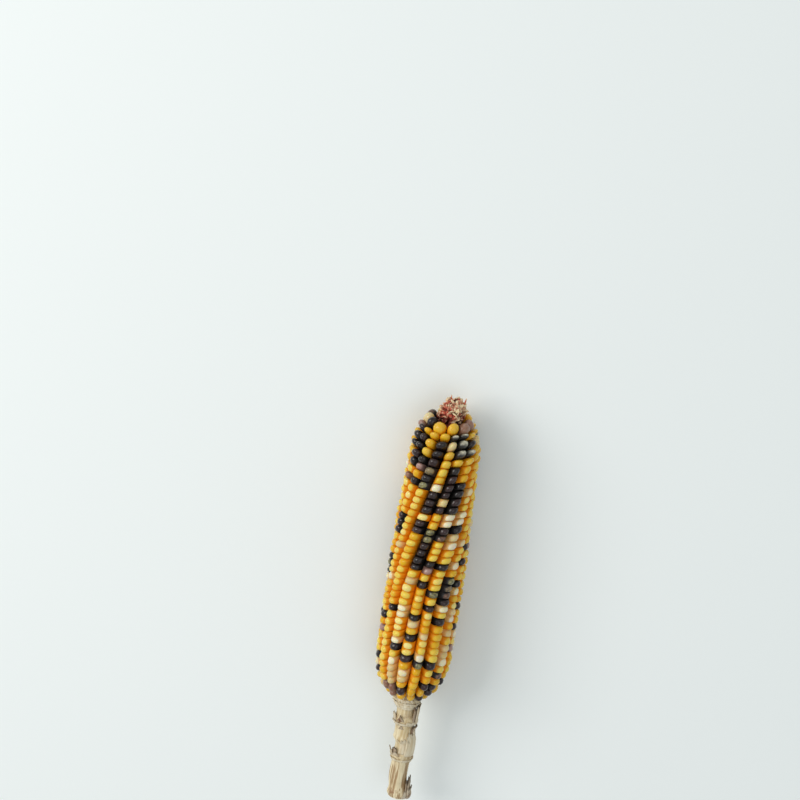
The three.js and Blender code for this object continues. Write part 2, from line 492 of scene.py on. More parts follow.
def grains(tree, vector, scale, detail=3.0, roughness=0.55):
    """A noise pattern's value."""
    inputs = {"Vector": vector, "Scale": scale, "Detail": detail, "Roughness": roughness}
    return wire(tree, "TexNoise", inputs).outputs["Fac"]


def mark(tree, name):
    """What the points of a piece carry under a name, as a vector."""
    return wire(tree, "Attribute", attribute_name=name).outputs["Vector"]


def parts(tree, vector):
    """A vector's three numbers."""
    return wire(tree, "SeparateXYZ", {"Vector": vector}).outputs


def new_group(name, inputs, outputs):
    """An empty shader node group, what goes into it, and the node that its results go to."""
    group = bpy.data.node_groups.new(name, "ShaderNodeTree")
    for label, value in inputs.items():
        socket = group.interface.new_socket(label, in_out="INPUT", socket_type="NodeSocketFloat")
        socket.default_value = value
    for label in outputs:
        group.interface.new_socket(label, in_out="OUTPUT", socket_type="NodeSocketFloat")
    return group, group.nodes.new("NodeGroupInput").outputs, group.nodes.new("NodeGroupOutput")


def use_group(tree, group, inputs):
    """Places a node group with its inputs."""
    return wire(tree, "Group", inputs, node_tree=group).outputs


def once(name, build):
    """The node group of that name, built the first time it is asked for."""
    return bpy.data.node_groups.get(name) or build(name)


def crown_group(name):
    """Where a kernel's starchy crown shows: an oval with a slightly wavy edge.

    Each point of a kernel carries its place in it under "grain", from -1 to 1 across and along
    and from 0 at the foot to 1 at the crown, and under "tone" three numbers from 0 to 1: its
    shade, its own seed, and how plump it is.
    """
    group, given, result = new_group(
        name,
        {"Width": 0.8, "Length": 1.0, "Shift": 0.0, "Waviness": 0.12, "Edge": 0.04},
        ("Crown", "Rim"),
    )
    place = parts(group, mark(group, "grain"))
    _, seed, plump = parts(group, mark(group, "tone"))
    across = sums(group, "DIVIDE", place[0], given["Width"])
    along = sums(group, "SUBTRACT", place[1], given["Shift"])
    along = sums(group, "DIVIDE", along, given["Length"])
    deep = times(group, sums(group, "SUBTRACT", 1.0, place[2]), 4.0)
    flat = wire(group, "CombineXYZ", {0: across, 1: along, 2: deep}).outputs[0]
    distance = wire(group, "VectorMath", {0: flat}, operation="LENGTH").outputs["Value"]
    own = {0: place[0], 1: place[1], 2: times(group, seed, 60.0)}
    own = wire(group, "CombineXYZ", own).outputs[0]
    wave = sums(group, "SUBTRACT", grains(group, own, 1.4, detail=2.0), 0.5)
    wave = times(group, wave, given["Waviness"])
    size = sums(group, "MULTIPLY_ADD", seed, 0.2, 0.88)
    size = sums(group, "MULTIPLY_ADD", plump, -0.3, size)
    reach = sums(group, "ADD", times(group, distance, size), wave)
    edge = sums(group, "MULTIPLY_ADD", plump, 0.3, given["Edge"])
    crown = steps(group, reach, sums(group, "ADD", 1.0, edge), sums(group, "SUBTRACT", 1.0, edge))
    # Rim Highlight: a painted highlight, a thin paler ring just outside the crown's edge
    rim_highlight = steps(group, sums(group, "ABSOLUTE", sums(group, "SUBTRACT", reach, 1.14)), 0.16, 0.0)
    fill(group, result, {"Crown": crown, "Rim": rim_highlight})
    return group


def skin_group(name):
    """The fine unevenness of a dry skin: soft cloudiness, and a height for its wrinkles."""
    group, given, result = new_group(
        name, {"Cloud Scale": 500.0, "Wrinkle Scale": 2200.0}, ("Cloud", "Height")
    )
    place = wire(group, "TexCoord").outputs["Object"]
    cloud = grains(group, place, given["Cloud Scale"], detail=4.0, roughness=0.6)
    cloud = steps(group, cloud, 0.35, 0.68)
    wrinkles = grains(group, place, given["Wrinkle Scale"], roughness=0.6)
    height = sums(group, "MULTIPLY_ADD", cloud, 0.6, wrinkles)
    fill(group, result, {"Cloud": cloud, "Height": height})
    return group


def fibre_group(name):
    """Fibres that run along the cob: pale and brown streaks, and a height for their ridges."""
    group, given, result = new_group(
        name, {"Fineness": 1.0, "Stretch": 0.06}, ("Streak", "Stain", "Height")
    )
    place = wire(group, "TexCoord").outputs["Object"]
    along = wire(group, "CombineXYZ", {0: 1.0, 1: given["Stretch"], 2: 1.0}).outputs[0]
    drawn = wire(group, "VectorMath", {0: place, 1: along}, operation="MULTIPLY").outputs[0]
    fine = grains(group, drawn, times(group, given["Fineness"], 1500.0))
    broad = grains(group, drawn, times(group, given["Fineness"], 420.0), detail=2.0)
    streak = sums(group, "MULTIPLY_ADD", fine, 0.5, times(group, broad, 0.5))
    streak = steps(group, streak, 0.38, 0.62)
    stain = steps(group, grains(group, place, 190.0, detail=4.0, roughness=0.65), 0.52, 0.7)
    height = sums(group, "MULTIPLY_ADD", broad, 1.2, fine)
    fill(group, result, {"Streak": streak, "Stain": stain, "Height": height})
    return group


def new_material(name):
    """An empty material with a Principled shader on its output."""
    material = bpy.data.materials.new(name)
    material.use_nodes = True
    tree = material.node_tree
    tree.nodes.clear()
    shader = wire(tree, "BsdfPrincipled")
    output = wire(tree, "OutputMaterial")
    tree.links.new(shader.outputs[0], output.inputs["Surface"])
    return material, tree, shader


def relief(tree, height, strength, distance):
    """A Bump node's normal."""
    made = wire(tree, "Bump", {"Height": height, "Strength": strength, "Distance": distance})
    return made.outputs["Normal"]


# ---------------------------------------------------------------- the kernels' finishes

CROWN = "Kernel crown"
SKIN = "Dry skin"
FIBRE = "Dry fibre"


def kernel_base(name, cloud_scale, **crown):
    """A kernel's empty finish, with its crown and its skin."""
    material, tree, shader = new_material(name)
    crown = use_group(tree, once(CROWN, crown_group), crown)
    skin = use_group(tree, once(SKIN, skin_group), {"Cloud Scale": cloud_scale})
    return material, tree, shader, crown, skin


def whole_top(tree):
    """Nearly the whole top of a kernel."""
    return use_group(tree, once(CROWN, crown_group), {"Width": 0.95, "Edge": 0.1})["Crown"]


def glaze(tree, shader, skin, over, roughness, wrinkles, coat):
    """A skin with fine wrinkles that is glossy over part of the kernel.

    The roughness is given outside that part and in it, the wrinkles as their strength and
    height, and the coat as its weight and its roughness.
    """
    fill(tree, shader, {
        "Roughness": steps(tree, over, 0.0, 1.0, *roughness),
        "Normal": relief(tree, skin["Height"], *wrinkles),
        "IOR": 1.5,
        "Coat Weight": times(tree, over, coat[0]),
        "Coat Roughness": coat[1],
    })


def darker(tint, part):
    """A darker colour."""
    return tuple(value * part for value in tint)


def flint_kernel(name, light, pale, golden, flank):
    """A translucent kernel whose sides glow, with an opaque starchy crown."""
    material, tree, shader, crown, skin = kernel_base(name, 420.0, Width=0.69)
    shade, _, plump = parts(tree, mark(tree, "tone"))
    height = parts(tree, mark(tree, "grain"))[2]
    golden_part = steps(tree, shade, 0.45, 1.0)
    golden_part = sums(tree, "MAXIMUM", golden_part, times(tree, plump, 0.8))
    top = blend(tree, steps(tree, shade, 0.3, 0.0, 0.0, 0.8), pale, light)
    top = blend(tree, golden_part, top, golden)
    top = blend(tree, times(tree, skin["Cloud"], 0.15), top, golden)
    # painted shade: the flank is painted darker towards the kernel's foot, deep between the kernels
    side = blend(tree, steps(tree, height, 0.2, 0.5), darker(flank, 0.7), flank)
    side = blend(tree, steps(tree, height, 0.62, 0.95, 0.0, 0.35), side, golden)
    side = blend(tree, times(tree, plump, 0.4), side, golden)
    # painted highlight: the thin ring just outside the crown is painted paler
    side = blend(tree, times(tree, crown["Rim"], 0.2), side, pale)
    fill(tree, shader, {
        "Base Color": blend(tree, crown["Crown"], side, top),
        "Roughness": steps(tree, crown["Crown"], 0.0, 1.0, 0.5, 0.36),
        "Normal": relief(tree, skin["Height"], 0.1, 0.0003),
        "Subsurface Weight": 0.34,
        "Subsurface Radius": (1.0, 0.6, 0.1),
        "Subsurface Scale": 0.002,
        "IOR": 1.48,
        "Specular IOR Level": 0.22,
        "Coat Weight": sums(tree, "MULTIPLY_ADD", plump, 0.4, times(tree, crown["Crown"], 0.3)),
        "Coat Roughness": 0.12,
    })
    return material


def dark_kernel(name, black, purple):
    """A kernel with a dark glossy skin, slightly paler and cloudy on its crown."""
    material, tree, shader, crown, skin = kernel_base(name, 600.0, Width=0.86, Edge=0.16)
    shade = parts(tree, mark(tree, "tone"))[0]
    top = blend(tree, steps(tree, shade, 0.25, 0.95), black, purple)
    dusty = tuple(lerp(value, 0.3, 0.04) for value in purple)
    top = blend(tree, times(tree, skin["Cloud"], 0.4), top, dusty)
    glaze(tree, shader, skin, crown["Crown"], (0.6, 0.2), (0.2, 0.0004), (0.55, 0.08))
    fill(tree, shader, {
        "Base Color": blend(tree, crown["Crown"], darker(black, 0.4), top),
        "Specular IOR Level": 0.22,
    })
    return material


def mottled_kernel(name, black, olive, brown):
    """A dark kernel with olive and brown spots over its crown."""
    material, tree, shader, crown, skin = kernel_base(
        name, 700.0, Width=0.7, Length=0.85, Edge=0.14
    )
    shade = parts(tree, mark(tree, "tone"))[0]
    spots = blend(tree, steps(tree, shade, 0.3, 0.7), olive, brown)
    showing = times(tree, crown["Crown"], steps(tree, skin["Cloud"], 0.0, 0.8, 0.3, 0.95))
    glaze(tree, shader, skin, whole_top(tree), (0.7, 0.28), (0.2, 0.0004), (0.5, 0.18))
    fill(tree, shader, {"Base Color": blend(tree, showing, black, spots)})
    return material


def frosted_kernel(name, black, frost):
    """A black kernel with starch showing white on the side towards the ear's tip."""
    material, tree, shader, crown, skin = kernel_base(
        name, 900.0, Width=0.48, Length=0.44, Shift=0.5, Waviness=0.7, Edge=0.3
    )
    showing = times(tree, crown["Crown"], steps(tree, skin["Cloud"], 0.0, 1.0, 0.55, 1.0))
    glaze(tree, shader, skin, whole_top(tree), (0.7, 0.3), (0.2, 0.0004), (0.4, 0.2))
    fill(tree, shader, {"Base Color": blend(tree, showing, black, frost)})
    return material


def blushed_kernel(name, mauve, brown):
    """A half-dark kernel, mauve or brown all over and paler on its crown."""
    material, tree, shader, crown, skin = kernel_base(
        name, 500.0, Width=0.8, Length=0.9, Edge=0.35
    )
    shade = parts(tree, mark(tree, "tone"))[0]
    body = blend(tree, steps(tree, shade, 0.35, 0.65), mauve, brown)
    deep = blend(tree, 0.65, body, darker(brown, 0.2))
    top = blend(tree, times(tree, skin["Cloud"], 0.3), body, (0.5, 0.4, 0.32))
    glaze(tree, shader, skin, crown["Crown"], (0.6, 0.3), (0.16, 0.0003), (0.4, 0.18))
    fill(tree, shader, {
        "Base Color": blend(tree, crown["Crown"], deep, top),
        "Subsurface Weight": 0.15,
        "Subsurface Radius": (1.0, 0.5, 0.3),
        "Subsurface Scale": 0.001,
    })
    return material


def kernel_finishes():
    """The kernels' materials by kind, in the order of the meshes' material slots."""
    tints = settings()[1]
    return {
        "yellow": flint_kernel(
            "yellow_kernel", tints.lemon_cap, tints.yellow_cap, tints.golden_cap, tints.yellow_flank
        ),
        "cream": flint_kernel(
            "cream_kernel", tints.frost, tints.cream_cap, tints.tan_cap, tints.cream_flank
        ),
        "dark": dark_kernel("dark_kernel", tints.black_skin, tints.purple_skin),
        "mottled": mottled_kernel(
            "mottled_kernel", tints.black_skin, tints.olive_spot, tints.brown_spot
        ),
        "frosted": frosted_kernel("frosted_kernel", tints.black_skin, tints.frost),
        "blushed": blushed_kernel("blushed_kernel", tints.mauve_skin, tints.brown_skin),
    }


# ---------------------------------------------------------------- the kernels


class Patch:
    """A patch of the ear where one kind of kernel is common, or by itself a single kernel."""

    def __init__(self, kind, along, turn, reach=2, spread=11.3, chance=1):
        self.kind = kind
        self.along = along * MM
        self.turn = turn
        self.reach = reach * MM
        self.spread = spread
        self.chance = chance

    def holds(self, along, turn):
        """True where the patch covers that place."""
        off = (turn - self.turn + 180) % 360 - 180
        return abs(off) < self.spread and abs(along - self.along) < self.reach


# How the colours are spread, as runs of patches of one kind: millimetres from the foot, degrees
# round the ear, half the patch's length and width, and how many of its kernels are of that kind.
# A place without the last three is one kernel. The first patch that holds wins.
PATCHES = (
    # round the tip
    ("dark", (157.5, -47, 3.5, 15, 1)),
    ("yellow", (157.5, -14, 3.5, 18, 1), (157.5, 18, 3.5, 16, 1)),
    ("cream", (157.5, -78, 3.5, 15, 1)),
    ("yellow", (142, 3), (137, 27), (128, 40)),
    ("cream", (147, 10), (115, 7)),
    ("blushed", (157.5, 66, 3.5, 34, 0.9)),
    ("yellow", (150, -38, 7, 13, 0.8), (151, 2, 4, 10, 0.9)),
    ("frosted", (146, 34, 9, 24, 0.85)),
    ("yellow", (128, 74, 12, 22, 0.95)),
    ("dark", (148, -16, 8, 9, 0.85), (144, -66, 14, 18, 0.92)),
    # the dark upper half, with its bright run on the left
    ("cream", (122, -14), (109, 27)),
    (
        "dark", (118, 27, 8, 12, 0.9), (124, 14, 4, 11, 0.9), (101, 26, 2, 11, 1),
        (102, 45, 2, 11, 1),
    ),
    ("yellow", (129, -6, 4, 8, 0.9)),
    ("mottled", (136, -4, 3.5, 8, 0.9)),
    ("blushed", (133, -50, 6, 11, 0.6)),
    ("dark", (132, -30, 9, 25, 0.72)),
    ("mottled", (132, -30, 9, 25, 0.6)),
    ("yellow", (108, -46, 20, 19, 0.95)),
    ("dark", (124, 29, 15, 21, 0.8)),
    ("mottled", (124, 29, 15, 21, 0.6)),
    ("dark", (115, -12, 6, 19, 0.9), (118, 68, 3, 22, 0.8)),
    ("yellow", (106, 6, 4, 26, 0.7)),
    ("dark", (98, -29, 8, 9, 0.9)),
    ("mottled", (97, 2, 3, 26, 0.6)),
    ("dark", (90, -13, 8, 9, 0.95)),
    ("yellow", (90, 16, 5, 11, 0.9)),
    ("cream", (90, 48, 9, 11, 0.5)),
    ("dark", (82, 22, 2, 24, 0.8), (84, 64, 3, 12, 0.9)),
    # the bright lower half, with single dark and pale kernels
    (
        "cream", (90, -41), (87, 4), (73, -29), (54, -37), (47, -13), (43, 13), (36, -37),
        (30, 9), (59, 30),
    ),
    ("blushed", (80, 6)),
    ("dark", (78, -23), (69, -6)),
    ("mottled", (66, 15)),
    (
        "dark", (58, 12), (54, -58), (51, -35), (51, -12), (49, 33), (41, -10), (32, -37),
        (29, -14), (27, 29),
    ),
    ("mottled", (20, 50)),
    ("dark", (12, 28), (8, -22)),
    ("yellow", (7, 2, 3.4, 11, 1), (3, -14, 2.4, 24, 1)),
    ("blushed", (3, -52, 2.4, 14, 1)),
    ("mottled", (68, 40, 6, 11, 0.9)),
    ("cream", (20, -38, 9, 10, 0.95), (48, 58, 22, 14, 0.6)),
    ("blushed", (7, -48, 5, 14, 0.9)),
    ("dark", (4, 32, 4, 28, 0.7)),
    ("yellow", (46, -12, 44, 50, 0.82)),
    # the side that it lies on
    ("dark", (120, 150, 30, 40, 0.6), (92, -140, 22, 30, 0.5)),
    ("cream", (50, 170, 30, 26, 0.4)),
)

LAID_OUT = [Patch(kind, *place) for kind, *places in PATCHES for place in places]

# How common each kind is elsewhere
SHARES = (
    ("yellow", 0.66),
    ("cream", 0.17),
    ("dark", 0.1),
    ("mottled", 0.04),
    ("blushed", 0.02),
    ("frosted", 0.01),
)


def kernel_kind(dice, along, turn):
    """The kind of the kernel at a place on the ear."""
    for patch in LAID_OUT:
        if patch.holds(along, turn) and dice.random() < patch.chance:
            return patch.kind
    left = dice.random()
    for kind, part in SHARES:
        left -= part
        if left < 0:
            return kind
    return SHARES[0][0]


# A kernel's levels from its widest place to its crown: height, half its width across the row and
# along it, and how round its outline is there. Flint kernels stand in most of the ear, plump
# ones at both of its ends, where they have more room.
FLINT_LEVELS = (
    (0.5, 1.0, 1.0, 0.0),
    (0.69, 0.81, 0.995, 0.05),
    (0.85, 0.62, 0.95, 0.6),
    (0.955, 0.42, 0.66, 1.0),
)
PLUMP_LEVELS = (
    (0.38, 0.94, 0.96, 0.5),
    (0.62, 0.98, 0.99, 0.95),
    (0.83, 0.78, 0.8, 1.0),
    (0.955, 0.44, 0.46, 1.0),
)
FOOT_SIZE = (0.9, 0.95)
ROUND_GROWTH = 0.174  # how far the middles of a square's sides move out when it is made round


def kernel_pattern(levels):
    """A kernel modelled once, from -1 to 1 across and along, with its foot at 0 and crown at 1."""
    deselect()
    bpy.ops.mesh.primitive_cube_add(size=2)
    block = bpy.context.object
    select_edges(block, lambda low, high: low.z == high.z)
    bpy.ops.mesh.subdivide(number_cuts=2)
    for side in (-1, 1):
        select_faces(block, lambda middle, normal: normal.z * side > 0.9)
        bpy.ops.mesh.dissolve_faces()
    select_faces(block, lambda middle, normal: normal.z < -0.9)
    bpy.ops.transform.resize(value=(*FOOT_SIZE, 1))
    bpy.ops.transform.translate(value=(0, 0, 1))
    select_faces(block, lambda middle, normal: normal.z > 0.9)
    height, wide, long = 1, 1, 1
    for level, (up, across, along, round_off) in enumerate(levels):
        if level:
            bpy.ops.mesh.extrude_region_move()
        bpy.ops.transform.translate(value=(0, 0, up - height))
        bpy.ops.transform.resize(value=(1 / wide, 1 / long, 1))
        bpy.ops.transform.tosphere(value=round_off)
        growth = 1 + ROUND_GROWTH * round_off
        bpy.ops.transform.resize(value=(across / growth, along / growth, 1))
        height, wide, long = up, across / growth, along / growth
    bpy.ops.mesh.extrude_region_move(TRANSFORM_OT_translate={"value": (0, 0, 1 - height)})
    bpy.ops.mesh.merge(type="CENTER")
    bpy.ops.object.mode_set(mode="OBJECT")
    return Shape(block)


PLUMP_BASE = 0.09  # shares of the ear's length beyond which kernels turn plump
PLUMP_BASE_FADE = 0.05  # and over what share they do
PLUMP_TIP = 0.82
PLUMP_TIP_FADE = 0.06
PLUMP_CHANCE = (-0.2, 0.3)
CROWN_WIDENING = (-0.1, 0.12)  # how much narrower or wider than its foot a crown may be
CROWN_SWAY = 0.05  # how far across its row a crown may lean
LEAST_SHARE = 0.0075  # how near to the ear's very ends a crown may come
MOST_SHARE = 0.993
EDGE_SHIFT = 0.08  # how far a ring's kernel may be off its place, as a share of its width
GOLDEN_REACH = 32 * MM  # how far from the foot kernels are a deeper yellow
GOLDEN_PART = 0.7  # and by how much


class Kernel:
    """One kernel: its place between two lines of the ear, and its own small quirks."""

    def __init__(self, dice, left, right, start, end):
        sizes = settings()[0]
        self.left = left
        self.right = right
        self.middle = (start + end) / 2
        self.half = (end - start) / 2
        self.rise = dice.uniform(-1, 1) * sizes.crown_unevenness
        self.skew = dice.uniform(-1, 1) * sizes.kernel_skew
        self.widening = dice.uniform(*CROWN_WIDENING)
        self.sway = dice.uniform(-CROWN_SWAY, CROWN_SWAY)
        near_foot = (PLUMP_BASE - self.middle) / PLUMP_BASE_FADE
        near_tip = (self.middle - PLUMP_TIP) / PLUMP_TIP_FADE
        plumpness = max(near_foot, near_tip) + dice.uniform(*PLUMP_CHANCE)
        self.plumpness = min(max(plumpness, 0), 1)

    def turn(self):
        """The angle round the ear where its middle is, in degrees."""
        return math.degrees(row_line((self.left + self.right) / 2, self.middle))

    def place(self, point):
        """Where a point of the pattern comes to lie on the ear."""
        sizes = settings()[0]
        t = self.middle + self.half * (point.y + self.skew * point.x * point.z)
        t = min(max(t, LEAST_SHARE), MOST_SHARE)
        foot_radius, foot_along = kernel_foot(t)
        radius = lerp(foot_radius, ear_radius(t) + self.rise, point.z)
        along = lerp(foot_along, sizes.ear_length * t, point.z)
        left, right = row_line(self.left, t), row_line(self.right, t)
        across = point.x * (1 + self.widening * point.z ** 4) + self.sway * point.z
        placed = around(radius, lerp(left, right, 0.5 + 0.5 * across), along)
        placed.z = max(placed.z, 0)
        return placed


class Ring:
    """A ring of kernels that are wider than the rows, at one end of the ear.

    It is placed by the shares of the ear's length where it starts and ends, by how much lower
    these are on the upper side of the ear than half way down, and by how uneven it is.
    """

    def __init__(self, count, start, end, start_tilt, end_tilt, unevenness):
        self.count = count
        self.start = start
        self.end = end
        self.start_tilt = start_tilt
        self.end_tilt = end_tilt
        self.unevenness = unevenness

    def span(self, phi):
        """Where it starts and ends at an angle."""
        upward = math.cos(phi)
        return self.start - self.start_tilt * upward, self.end - self.end_tilt * upward

    def kernels(self, dice):
        """Its kernels, all the way round."""
        wide = ROWS / self.count
        edges = [wide * (i + dice.uniform(-EDGE_SHIFT, EDGE_SHIFT)) for i in range(self.count)]
        made = []
        for low, high in zip(edges, [*edges[1:], edges[0] + ROWS]):
            start, end = self.span(row_line((low + high) / 2, self.span(0)[0]))
            lift = dice.uniform(-self.unevenness, self.unevenness)
            made.append(Kernel(dice, low, high, start + lift, end + lift / 2))
        return made


FOOT_RING = Ring(12, LEAST_SHARE + 0.003, 0.03, 0, 0, 0.002)
TIP_RING = Ring(11, 0.95, 0.983, 0.01, 0.008, 0.006)


def row_kernels(dice, outline, k):
    """The kernels of one row, between the rings of larger kernels."""
    ends = kernel_ends(outline, k)[1:-1]
    at_foot, at_tip = FOOT_RING.unevenness, TIP_RING.unevenness / 2
    ends[0] = FOOT_RING.end + dice.uniform(-at_foot, at_foot)
    ends[-1] = TIP_RING.span(row_line(k + 0.5, ends[-1]))[0] + dice.uniform(-at_tip, at_tip)
    return [Kernel(dice, k, k + 1, start, end) for start, end in zip(ends, ends[1:])]


class CORN_OT_kernels(bpy.types.Operator):
    """Grow every row of kernels on the cob"""

    bl_idname = "corn.kernels"
    bl_label = "Kernels"

    def execute(self, context):
        finishes = kernel_finishes()
        kinds = list(finishes)
        flint = kernel_pattern(FLINT_LEVELS)
        plump = kernel_pattern(PLUMP_LEVELS)
        pairs = list(zip(flint.points, plump.points))
        outline = Outline()
        dice = random.Random(11)
        colours = random.Random(4)
        rows = [row_kernels(dice, outline, k) for k in range(ROWS)]
        for kernel in [*TIP_RING.kernels(dice), *FOOT_RING.kernels(dice)]:
            rows[int((kernel.left + kernel.right) / 2) % ROWS].append(kernel)
        for k, kernels in enumerate(rows):
            row = Gathering()
            for kernel in kernels:
                along = kernel.middle * settings()[0].ear_length
                kind = kernel_kind(colours, along, kernel.turn())
                shade = colours.random() + GOLDEN_PART * max(0, 1 - along / GOLDEN_REACH)
                tone = Vector((min(shade, 1), colours.random(), kernel.plumpness))
                grain = [low.lerp(high, kernel.plumpness) for low, high in pairs]
                row.add(
                    flint, [kernel.place(point) for point in grain], kinds.index(kind),
                    grain=grain, tone=[tone] * len(grain),
                )
            node = f"kernel_row_{k + 1:02d}"
            piece = row.make(f"grains_{k + 1:02d}", finishes.values())
            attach(piece, ROOT)
            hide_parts(node)
        return {"FINISHED"}


# ---------------------------------------------------------------- the cob and its chaff


def cob_finish():
    """Deep red chaffy pith, seen in the gaps between the kernels."""
    tints = settings()[2]
    material, tree, shader = new_material("cob_pith")
    skin = use_group(tree, once(SKIN, skin_group), {"Cloud Scale": 900.0, "Wrinkle Scale": 1600.0})
    height = parts(tree, wire(tree, "TexCoord").outputs["Object"])[1]
    pith = blend(tree, skin["Cloud"], tints.chaff_dark_and_shade, tints.chaff_red)
    foot = blend(tree, skin["Cloud"], tints.husk_pale, tints.shank_straw)
    past_foot = steps(tree, height, FOOT_Y + 4 * MM, FOOT_Y + 9 * MM)
    fill(tree, shader, {
        "Base Color": blend(tree, past_foot, foot, pith),
        "Roughness": 0.9,
        "Normal": relief(tree, skin["Height"], 0.8, 0.0008),
    })
    return material


def chaff_finish():
    """Dry papery scales, red or cream, with painted shade at their feet and low in the tuft."""
    tints = settings()[2]
    material, tree, shader = new_material("dry_chaff")
    fibre = use_group(tree, once(FIBRE, fibre_group), {"Fineness": 1.4, "Stretch": 0.3})
    place, tone, out_of_shade = parts(tree, mark(tree, "scale"))
    body = blend(tree, steps(tree, tone, 0.4, 0.6), tints.chaff_red, tints.chaff_cream)
    body = blend(tree, times(tree, fibre["Streak"], 0.3), body, tints.chaff_red)
    body = blend(tree, steps(tree, place, 0.6, 1.0, 0.0, 0.7), body, tints.chaff_cream)
    # painted shade: the scales are painted darker towards their feet and towards the tuft's foot
    painted_shade = steps(tree, sums(tree, "ADD", times(tree, place, 0.6), out_of_shade), 0.85, 0.2)
    fill(tree, shader, {
        "Base Color": blend(tree, painted_shade, body, tints.chaff_dark_and_shade),
        "Roughness": 0.85,
        "Normal": relief(tree, fibre["Height"], 0.5, 0.0003),
        "Subsurface Weight": 0.1,
        "Subsurface Radius": (1.0, 0.4, 0.25),
        "Subsurface Scale": 0.0008,
    })
    return material


TUFT_FOOT = 151 * MM  # where on the axis the tuft starts and ends
TUFT_TOP = 166.5 * MM
TUFT_LEAN = 2.2 * MM  # how far its top leans to one side
TUFT_SCALES = 230
NEXT_SCALE = 3 - math.sqrt(5)  # how far round the next scale stands, in half turns
SCALE_WIDTH = 0.95
SCALE_THICKNESS = 0.09  # as a share of the scale's length
SCALE_CURL = (0.6, 3.6)
SCALE_TWIST = (-1.5, 1.5)
LEAST_CURL = 0.01  # a scale that curls less is straight
SPIKE_WIDTH = 0.38
SPIKE_CURL = 0.2
SPIKES = ((1.6, -1.0), (-1.9, -2.2), (4.6, 0.5))  # the longest scales' places off the axis, in mm
KNOB_RADIUS = 4.6 * MM
KNOB_REACH = 0.85  # the knob's length as a share of the tuft's
KNOB_LUMPS = 0.25


def scale_pattern(width):
    """One scale of chaff: a cupped pointed leaf, 1 long along Y, with its foot at 0."""
    deselect()
    bpy.ops.mesh.primitive_grid_add(x_subdivisions=2, y_subdivisions=5, size=1)
    blank = bpy.context.object
    for vertex in blank.data.vertices:
        along = vertex.co.y + 0.5
        wide = width * math.sin(math.pi * (0.2 + 0.76 * along)) ** 0.8
        vertex.co = (vertex.co.x * wide, along, 0.9 * abs(vertex.co.x) ** 2 * wide)
    finish_modifier(blank, "SOLIDIFY", thickness=SCALE_THICKNESS, offset=0)
    return Shape(blank)


def curled(point, bend, twist):
    """A scale's point after it has curled along its length and twisted."""
    swing = bend * point.y
    bent = abs(bend) > LEAST_CURL
    reach = math.sin(swing) / bend if bent else point.y
    lift = (1 - math.cos(swing)) / bend if bent else 0
    turned = Matrix.Rotation(twist * point.y, 3, "Y") @ Vector((point.x, 0, point.z))
    reach -= turned.z * math.sin(swing)
    return Vector((turned.x, reach, lift + turned.z * math.cos(swing)))


def chaff_scale(dice, tuft, pattern, foot, outward, size, tone, out_of_shade, bend=None):
    """Adds one scale that grows from a foot in a direction."""
    bend = dice.uniform(*SCALE_CURL) if bend is None else bend
    twist = dice.uniform(*SCALE_TWIST)
    stand = outward.to_track_quat("Y", "Z").to_matrix()
    stand = stand @ Matrix.Rotation(dice.uniform(-math.pi, math.pi), 3, "Y")
    stretch = Vector((dice.uniform(0.7, 1.2), 1, 1))
    bent = [curled(point * stretch, bend, twist) for point in pattern.points]
    points = [foot + size * (stand @ point) for point in bent]
    tuft.add(pattern, points, scale=[(point.y, tone, out_of_shade) for point in pattern.points])


def tuft_centre(along):
    """The middle of the tuft, which leans a little to one side."""
    lean = TUFT_LEAN * (along - TUFT_FOOT) / (TUFT_TOP - TUFT_FOOT)
    return around(0, 0, along) + Vector((lean, 0, 0))


def add_knob(tuft):
    """Adds the bare end of the cob under the tuft: a lumpy rounded knob."""
    deselect()
    bpy.ops.mesh.primitive_ico_sphere_add(subdivisions=3, radius=1)
    knob = bpy.context.object
    for vertex in knob.data.vertices:
        vertex.co *= 1 + KNOB_LUMPS * noise.noise(vertex.co * 2.3)
    pattern = Shape(knob)
    middle = (TUFT_FOOT + TUFT_TOP) / 2
    half = (TUFT_TOP - TUFT_FOOT) / 2
    points = []
    for point in pattern.points:
        centre = tuft_centre(middle + half * KNOB_REACH * point.y)
        points.append(centre + KNOB_RADIUS * Vector((point.x, 0, point.z)))
    # the knob under the scales is painted wholly in the shade colour
    tuft.add(pattern, points, scale=[(0, 0.2, 0.1)] * len(points))


def add_scales(dice, tuft, size):
    """Adds the tuft's scales, in a spiral from its foot to its top."""
    pattern = scale_pattern(SCALE_WIDTH)
    for i in range(TUFT_SCALES):
        rise = ((i + 0.5) / TUFT_SCALES) ** 0.75
        phi = i * math.pi * NEXT_SCALE
        bulge = math.sqrt(max(0, 1 - (0.98 * rise) ** 4))
        radius = KNOB_RADIUS * lerp(0.1, 1.0, bulge)
        along = lerp(TUFT_FOOT + 2 * MM, TUFT_TOP - 2.2 * MM, rise)
        side = Vector((math.sin(phi), 0, math.cos(phi)))
        foot = tuft_centre(along) + radius * side
        outward = side * lerp(1, 0.35, rise) + Vector((0, lerp(0.3, 1.0, rise), 0))
        outward += 0.5 * Vector([dice.uniform(-1, 1) for _ in range(3)])
        tone = 0.24 + 0.34 * rise + 0.14 * side.x + dice.uniform(-0.26, 0.26)
        tall = size * dice.uniform(0.55, 1.0)
        # how far a scale stands out of the painted shade: those low in the tuft are painted darker
        out_of_shade = lerp(-0.3, 0.8, rise ** 0.7)
        chaff_scale(dice, tuft, pattern, foot, outward, tall, tone, out_of_shade)


